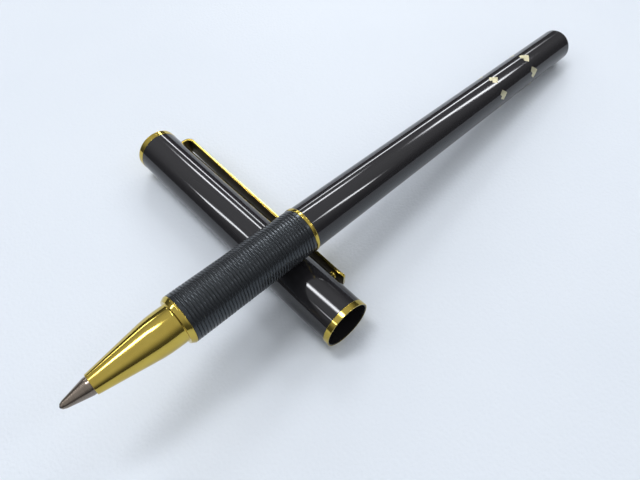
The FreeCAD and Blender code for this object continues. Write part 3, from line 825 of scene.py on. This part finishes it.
sleeve = grown("grip_sleeve", tree, {
    "Rear": grip_rear, "Front": grip_front, "Rear Radius": grip_rear_r, "Front Radius": grip_front_r,
    "Bore Radius": sleeve_bore_r, "First Groove": first_groove, "Pitch": groove_pitch,
    "Grooves": groove_count, "Groove Width": groove_width, "Groove Depth": groove_depth,
    "Points Per Pitch": 10,
}, pen_place)
closing = bmesh.new()
closing.from_mesh(sleeve)
bmesh.ops.recalc_face_normals(closing, faces=closing.faces)
closing.to_mesh(sleeve)
closing.free()
sleeve.shade_smooth()
sleeve.set_sharp_from_angle(angle=math.radians(60))
keep("grip", sleeve, satin_black, "section_body", "satin_black", "grip_sleeve")


# ---- Nose cone ----
# Turned from brass, gold plated and polished: a rim against the grip, a short neck and a long
# taper to the lip. Its spigot screws into the core, and its stepped bore seats the refill.

nose_rim_r = 4.48
nose_rim_land = 0.30
nose_rim_width = 1.00
nose_rim_front_r = 4.10
neck_r = 3.55
neck_end = 111.9
taper_start = 114.6
taper_start_r = 3.37
taper_crown = 0.05
nose_lip = 124.95
nose_lip_r = 1.82
tip_seat = 121.5
holder_step = 116.0
refill_shoulder = 108.4
refill_r = 2.95
tip_r = 1.575
holder_bore_r = 2.0
shoulder_bore_r = 2.4
refill_clearance = 0.10
seat_clearance = 0.2
rim_start = grip_front + seating_gap
rim_end = rim_start + nose_rim_width

nose_outline = softened([
    (nose_spigot_start, nose_spigot_r, 0.1),
    (rim_start, nose_spigot_r),
    (rim_start, nose_rim_r, 0.08),
    (rim_start + nose_rim_land, nose_rim_r, 0.12),
    (rim_end, nose_rim_front_r, 0.10),
    (rim_end + 0.03, neck_r, 0.25),
    (neck_end, neck_r),
    (0.5 * (neck_end + taper_start), neck_r - taper_crown),
    (taper_start, taper_start_r),
    (nose_lip, nose_lip_r, 0.12),
    (nose_lip, tip_r + refill_clearance, 0.05),
    (tip_seat + seat_clearance, tip_r + refill_clearance),
    (tip_seat + seat_clearance, holder_bore_r),
    (holder_step + seat_clearance, holder_bore_r),
    (holder_step + seat_clearance, shoulder_bore_r),
    (refill_shoulder + 0.05, shoulder_bore_r),
    (refill_shoulder + 0.05, refill_r + refill_clearance),
    (nose_spigot_start, refill_r + refill_clearance, 0.1),
], steps=8)
keep("nose_cone", turned("nose_cone", nose_outline, pen_place, around=192), gold_plate,
     "section_body", "gold_plate", "nose_cone")


# ---- Refill ----
# A metal tube full of inked fibre, closed by a vented plug at the back. The holder in front seats
# in the nose cone and grips the writing tip, and a fine fibre rod feeds the ball.

# Painted thin steel, silver grey and slightly rough, with an orange-peel speckle 0.2 mm across.
refill_speckle = 0.2
refill_metal, tree = new_finish("painted_refill_steel")
place = add_node(tree, "ShaderNodeTexCoord").outputs["Object"]
speckle = add_node(tree, "ShaderNodeTexNoise", {
    "Vector": place, "Scale": 1000 / refill_speckle, "Detail": 2.0})
tint = add_node(tree, "ShaderNodeMix", {
    "Factor": speckle.outputs["Fac"], 6: linear("#B4B7BA"), 7: linear("#A5A8AC")}, data_type="RGBA")
surface(tree, {"Base Color": tint.outputs[2], "Metallic": 1.0, "Roughness": 0.35})

# Moulded white polypropylene: waxy, slightly see-through, with a soft even shine and flow marks
# about a millimetre across.
plastic_flow = 1.25
white_plastic, tree = new_finish("moulded_white_polypropylene")
place = add_node(tree, "ShaderNodeTexCoord").outputs["Object"]
flow = add_node(tree, "ShaderNodeTexNoise", {"Vector": place, "Scale": 1000 / plastic_flow, "Detail": 2.0})
tint = add_node(tree, "ShaderNodeMix", {
    "Factor": flow.outputs["Fac"], 6: linear("#ECECE6"), 7: linear("#E2E2DC")}, data_type="RGBA")
surface(tree, {"Base Color": tint.outputs[2], "Roughness": 0.4, "Subsurface Weight": 0.1,
               "Subsurface Scale": 0.0005})

# Bonded polyester fibre soaked in black ink: a dark blue-black felt, its fibres drawn 0.06 mm wide.
fibre_width = 0.0625
fibre_lengths_per_metre = 1500
ink_fibre, tree = new_finish("inked_polyester_fibre")
place = add_node(tree, "ShaderNodeTexCoord").outputs["Object"]
strands = add_node(tree, "ShaderNodeMapping", {
    "Vector": place, "Scale": (fibre_lengths_per_metre, 1000 / fibre_width, 1000 / fibre_width)})
fibre = add_node(tree, "ShaderNodeTexNoise", {
    "Vector": strands.outputs["Vector"], "Scale": 1.0, "Detail": 3.0})
tint = add_node(tree, "ShaderNodeMix", {
    "Factor": fibre.outputs["Fac"], 6: linear("#14151E"), 7: linear("#2A2C3A")}, data_type="RGBA")
relief = add_node(tree, "ShaderNodeBump", {
    "Height": fibre.outputs["Fac"], "Strength": 0.6, "Distance": 0.00004})
surface(tree, {"Base Color": tint.outputs[2], "Roughness": 0.8, "Normal": relief.outputs["Normal"]})

for node in ("refill_end_plug", "refill_holder"):
    repaint(node, white_plastic)
for node in ("ink_reservoir", "feed_rod"):
    repaint(node, ink_fibre)
repaint("refill_tube", refill_metal)


# ---- Writing tip and ball ----
# The tip is turned from nickel silver and pressed into the holder; its lip is spun over the ball,
# which is ground tungsten carbide and turns freely in the ink.

pen_length = 130.0
tip_stem_r = 1.18
tip_stem_length = 3.0
tip_stem_start = tip_seat - tip_stem_length + seating_gap
tip_bore_r = 0.34
tip_cone_start = 125.4
tip_cone_end_r = 0.70
tip_cone_end = pen_length - 0.75
tip_lip = pen_length - 0.22
tip_lip_r = 0.45

# Nickel silver: a warm brownish grey, with the marks of the turning tool, drawn 0.12 mm apart.
tip_ring_spacing = 0.12
nickel_silver, tree = new_finish("turned_nickel_silver")
place = add_node(tree, "ShaderNodeUVMap", uv_map="turned_mm").outputs["UV"]
stretched = add_node(tree, "ShaderNodeMapping", {
    "Vector": place, "Scale": (0.05 / tip_ring_spacing, 1 / tip_ring_spacing, 1)})
turning = add_node(tree, "ShaderNodeTexNoise", {
    "Vector": stretched.outputs["Vector"], "Scale": 1.0, "Detail": 2.0})
tint = add_node(tree, "ShaderNodeMix", {
    "Factor": turning.outputs["Fac"], 6: linear("#9C9084"), 7: linear("#766B61")}, data_type="RGBA")
relief = add_node(tree, "ShaderNodeBump", {
    "Height": turning.outputs["Fac"], "Strength": 0.15, "Distance": 0.00002})
surface(tree, {"Base Color": tint.outputs[2], "Metallic": 1.0, "Roughness": 0.24,
               "Normal": relief.outputs["Normal"]})

tip_outline = softened([
    (tip_stem_start, tip_bore_r),
    (tip_stem_start, tip_stem_r, 0.1),
    (tip_seat + seating_gap, tip_stem_r),
    (tip_seat + seating_gap, tip_r, 0.05),
    (tip_cone_start, tip_r, 1.0),
    (tip_cone_end, tip_cone_end_r, 0.8),
    (tip_lip, tip_lip_r, 0.04),
    (tip_lip, tip_bore_r),
])
keep("writing_tip", turned("writing_tip", tip_outline, pen_place, around=96), nickel_silver,
     "refill_body", "nickel_silver", "refill_tip")

# Ground carbide: dark grey and smooth, with a faint mottle of its grains, drawn 0.1 mm across.
mottles_per_metre = 9000.0
carbide, tree = new_finish("ground_tungsten_carbide")
place = add_node(tree, "ShaderNodeTexCoord").outputs["Object"]
mottle = add_node(tree, "ShaderNodeTexNoise", {"Vector": place, "Scale": mottles_per_metre, "Detail": 2.0})
tint = add_node(tree, "ShaderNodeMix", {
    "Factor": mottle.outputs["Fac"], 6: linear("#6C6A6C"), 7: linear("#58565A")}, data_type="RGBA")
surface(tree, {"Base Color": tint.outputs[2], "Metallic": 1.0, "Roughness": 0.2})
repaint("writing_ball", carbide)


# ---- Cap tube ----
# The cap's tube is drawn brass in the same black lacquer, a little slimmer at its closed end. Its
# mouth is turned down for the lip ring, and a slot near the closed end lets the clip's foot in.

cap_mount = next(mount for mount in frame["record"]["mounts"] if mount["name"] == "cap_mouth")
mount_depth = 0.001
cap_along = -Vector(cap_mount["axis"]).normalized()
cap_mouth = Vector(cap_mount["pos_m"]) - cap_along * mount_depth
cap_place = stand(cap_mouth, cap_along, Vector((1, 0, 0)))

cap_mouth_r = 4.84
cap_closed_r = 4.62
cap_bore_r = 4.56
liner_bore_r = 4.30
lip_seat_r = 4.72
lip_recess = 0.05
lip_width = 1.16
liner_start = 27.3
finial_face = 57.80


def cap_r(station):
    """The cap's outer radius at a station from its mouth."""
    share = (station - lip_width) / (finial_face - lip_width)
    return cap_mouth_r + (cap_closed_r - cap_mouth_r) * share


cap_outline = softened([
    (lip_recess, cap_bore_r, 0.04),
    (lip_recess, lip_seat_r, 0.03),
    (lip_width + seating_gap, lip_seat_r),
    (lip_width + seating_gap, cap_r(lip_width), 0.03),
    (finial_face - seating_gap, cap_closed_r, 0.05),
    (finial_face - seating_gap, liner_bore_r),
    (liner_start, liner_bore_r, 0.05),
    (liner_start, cap_bore_r),
])
cap_tube = turned("cap_tube_lacquered", cap_outline, cap_place, around=192)

clip_turn = math.radians(6.7)
clip_width = 3.6
clip_thickness = 0.6
clip_root = 55.2
clip_foot_r = 3.3
slot_clearance = 0.30
slot_reach = 3.0

slot_mesh = bmesh.new()
bmesh.ops.create_cube(slot_mesh, size=1.0)
bmesh.ops.scale(slot_mesh, verts=slot_mesh.verts, vec=(
    slot_reach, clip_width + 2 * slot_clearance, clip_thickness + 2 * slot_clearance))
bmesh.ops.translate(slot_mesh, verts=slot_mesh.verts, vec=(
    clip_foot_r - slot_clearance + slot_reach / 2, 0, clip_root + clip_thickness / 2))
bmesh.ops.rotate(slot_mesh, verts=slot_mesh.verts, matrix=Matrix.Rotation(clip_turn, 3, "Z"))
slot_block = bpy.data.objects.new("slot_block", bpy.data.meshes.new("slot_block"))
slot_mesh.to_mesh(slot_block.data)
slot_mesh.free()
slot_block.data.transform(cap_place)
uncut = bpy.data.objects.new("uncut_cap_tube", cap_tube)
cutting = uncut.modifiers.new("slot", "BOOLEAN")
cutting.object = slot_block
cutting.operation = "DIFFERENCE"
scene.collection.objects.link(slot_block)
scene.collection.objects.link(uncut)
cut_tube = bpy.data.meshes.new_from_object(uncut.evaluated_get(bpy.context.evaluated_depsgraph_get()))
bpy.data.objects.remove(uncut)
bpy.data.objects.remove(slot_block)
keep("cap_tube_lacquered", cut_tube, black_lacquer, "cap_body", "black_lacquer", "cap_tube")


# ---- Cap lip ring ----
# A gold-plated band with soft corners, pressed over the turned-down mouth. It stands a little
# proud of the lacquer, and the black end of the tube shows inside it.

lip_ring_r = 4.90
lip_ring_outline = softened([
    (0, lip_seat_r + seating_gap),
    (0, lip_ring_r, 0.08),
    (lip_width, lip_ring_r, 0.10),
    (lip_width, lip_seat_r + seating_gap),
])
keep("lip_ring", turned("lip_ring", lip_ring_outline, cap_place, around=192), gold_plate,
     "cap_body", "gold_plate", "cap_lip_ring")


# ---- Inner cap and top bush ----
# A moulded black liner inside the cap seals round the nose cone and the tip. Above it a turned
# brass bush fills the closed end; the finial screws into it, and the clip's foot hooks into it.

# Moulded black polypropylene: slightly waxy, with a fine spark-eroded texture, drawn 0.1 mm wide.
erosion_width = 0.1
black_plastic, tree = new_finish("moulded_black_polypropylene")
place = add_node(tree, "ShaderNodeTexCoord").outputs["Object"]
erosion = add_node(tree, "ShaderNodeTexNoise", {
    "Vector": place, "Scale": 1000 / erosion_width, "Detail": 2.0})
gloss = add_node(tree, "ShaderNodeMapRange", {
    "Value": erosion.outputs["Fac"], "From Min": 0.3, "From Max": 0.7, "To Min": 0.38, "To Max": 0.55})
relief = add_node(tree, "ShaderNodeBump", {
    "Height": erosion.outputs["Fac"], "Strength": 0.2, "Distance": 0.00002})
surface(tree, {"Base Color": linear("#1A1A1C"), "Roughness": gloss.outputs["Result"],
               "Normal": relief.outputs["Normal"]})
repaint("inner_cap", black_plastic)
repaint("cap_top_bush", bare_brass)


# ---- Finial ----
# A gold-plated disc with a soft edge that closes the cap, turned in one piece with its stud.

finial_r = 4.65
finial_top = 59.25
finial_stud_r = 1.25
finial_stud_start = 52.0
finial_outline = softened([
    (finial_stud_start, 0),
    (finial_stud_start, finial_stud_r, 0.15),
    (finial_face, finial_stud_r),
    (finial_face, finial_r, 0.05),
    (finial_top, finial_r, 0.35),
    (finial_top, 0),
], steps=8)
keep("finial_disc", turned("finial_disc", finial_outline, cap_place, around=192), gold_plate,
     "cap_body", "gold_plate", "finial")


# ---- Clip ----
# A strip of spring brass, gold plated and polished. Its foot hooks into the bush through the slot,
# its root bends down over the cap, and its free end has soft corners and turns up a little.

clip_end = 7.0
clip_root_r = 6.05
clip_end_r = 5.62
clip_bend = 1.1
clip_turn_up = 0.25
clip_turn_length = 1.4
clip_corner = 0.14
clip_end_rounding = 0.9
clip_end_share = 0.72
corner_points = 5
inner_side = 3 * corner_points - 1

half_thick = clip_thickness / 2
root_station = clip_root + half_thick
bend_centre = Vector((clip_root_r + half_thick - clip_bend, root_station - clip_bend))
clip_path = [Vector((clip_foot_r, root_station)), Vector((bend_centre.x - 0.2, root_station))]
for k in range(9):
    angle = math.radians(90 - 90 * k / 8)
    clip_path.append(bend_centre + clip_bend * Vector((math.cos(angle), math.sin(angle))))
long_end = Vector((clip_end_r + half_thick, clip_end + clip_turn_length))
long_start = clip_path[-1]
for share in (0.02, 0.25, 0.5, 0.75, 0.97):
    clip_path.append(long_start.lerp(long_end, share))
for k in range(1, 7):
    share = k / 6
    clip_path.append(long_end + Vector((clip_turn_up * share ** 1.5, -clip_turn_length * share)))


def clip_section(width):
    """Corners of the strip's section, across and through it, with rounded edges."""
    points = []
    for across, through, start in ((1, 1, 0), (-1, 1, 90), (-1, -1, 180), (1, -1, 270)):
        for k in range(corner_points):
            angle = math.radians(start + 90 * k / (corner_points - 1))
            points.append((
                across * (width / 2 - clip_corner) + clip_corner * math.cos(angle),
                through * (half_thick - clip_corner) + clip_corner * math.sin(angle),
            ))
    return points


strip = bmesh.new()
strip_uv = strip.loops.layers.uv.new("turned_mm")
# The inner face is marked for painted shade: the gold finish colours it dark brown and makes it rough.
inner_face_painted_shade = strip.faces.layers.float.new("inner_face_painted_shade")
loops = []
run = 0.0
runs = []
for i, point in enumerate(clip_path):
    before = clip_path[max(i - 1, 0)]
    after = clip_path[min(i + 1, len(clip_path) - 1)]
    ahead = (after - before).normalized()
    outward = Vector((-ahead.y, ahead.x))
    run += (point - before).length
    runs.append(run)
    to_end = max(point.y - clip_end, 0.0)
    rounding = math.sqrt(1 - (1 - min(to_end / clip_end_rounding, 1)) ** 2)
    width = clip_width * (clip_end_share + (1 - clip_end_share) * rounding)
    loops.append([strip.verts.new((point.x + outward.x * b, a, point.y + outward.y * b))
                  for a, b in clip_section(width)])
count = len(loops[0])
for i in range(len(loops) - 1):
    for k in range(count):
        n = (k + 1) % count
        face = strip.faces.new((loops[i][k], loops[i][n], loops[i + 1][n], loops[i + 1][k]))
        face[inner_face_painted_shade] = float(k == inner_side)
        for loop in face.loops:
            ring_index = i if loop.vert in loops[i] else i + 1
            loop[strip_uv].uv = (runs[ring_index], loop.vert.co.y)
strip.faces.new(loops[0])
strip.faces.new(reversed(loops[-1]))
bmesh.ops.recalc_face_normals(strip, faces=strip.faces)
for face in strip.faces:
    face.smooth = True
strip_mesh = bpy.data.meshes.new("clip_strip")
strip.to_mesh(strip_mesh)
strip.free()
strip_mesh.set_sharp_from_angle(angle=math.radians(40))
clip_place = cap_place @ Matrix.Rotation(clip_turn, 4, "Z")
strip_mesh.transform(clip_place)
keep("clip_strip", strip_mesh, gold_plate, "clip_body", "gold_plate", "clip")


# ---- Clip ball ----
# A small brass ball, brazed under the free end and gold plated with the clip. It presses on the
# pocket's cloth.

clip_ball_station = 9.3
clip_ball_r = 0.75
ball_gap = 0.03
ball_inner = cap_r(clip_ball_station) + ball_gap
ball_centre = ball_inner + clip_ball_r
ball_foot = 5.66
ball_root = ball_foot + 0.1
foot_angle = math.acos(min((ball_foot - ball_centre) / clip_ball_r, 1.0))
ball_outline = []
for k in range(19):
    angle = math.pi - (math.pi - foot_angle) * k / 18
    ball_outline.append((ball_centre + clip_ball_r * math.cos(angle), clip_ball_r * math.sin(angle)))
ball_outline[0] = (ball_inner, 0.0)
ball_outline.append((ball_root, ball_outline[-1][1]))
ball_outline.append((ball_root, 0.0))
ball_turn = Matrix.Translation((0, 0, clip_ball_station)) @ Matrix.Rotation(math.radians(90), 4, "Y")
keep("clip_bead", turned("clip_bead", ball_outline, clip_place @ ball_turn, around=64), gold_plate,
     "clip_body", "gold_plate", "clip_ball")
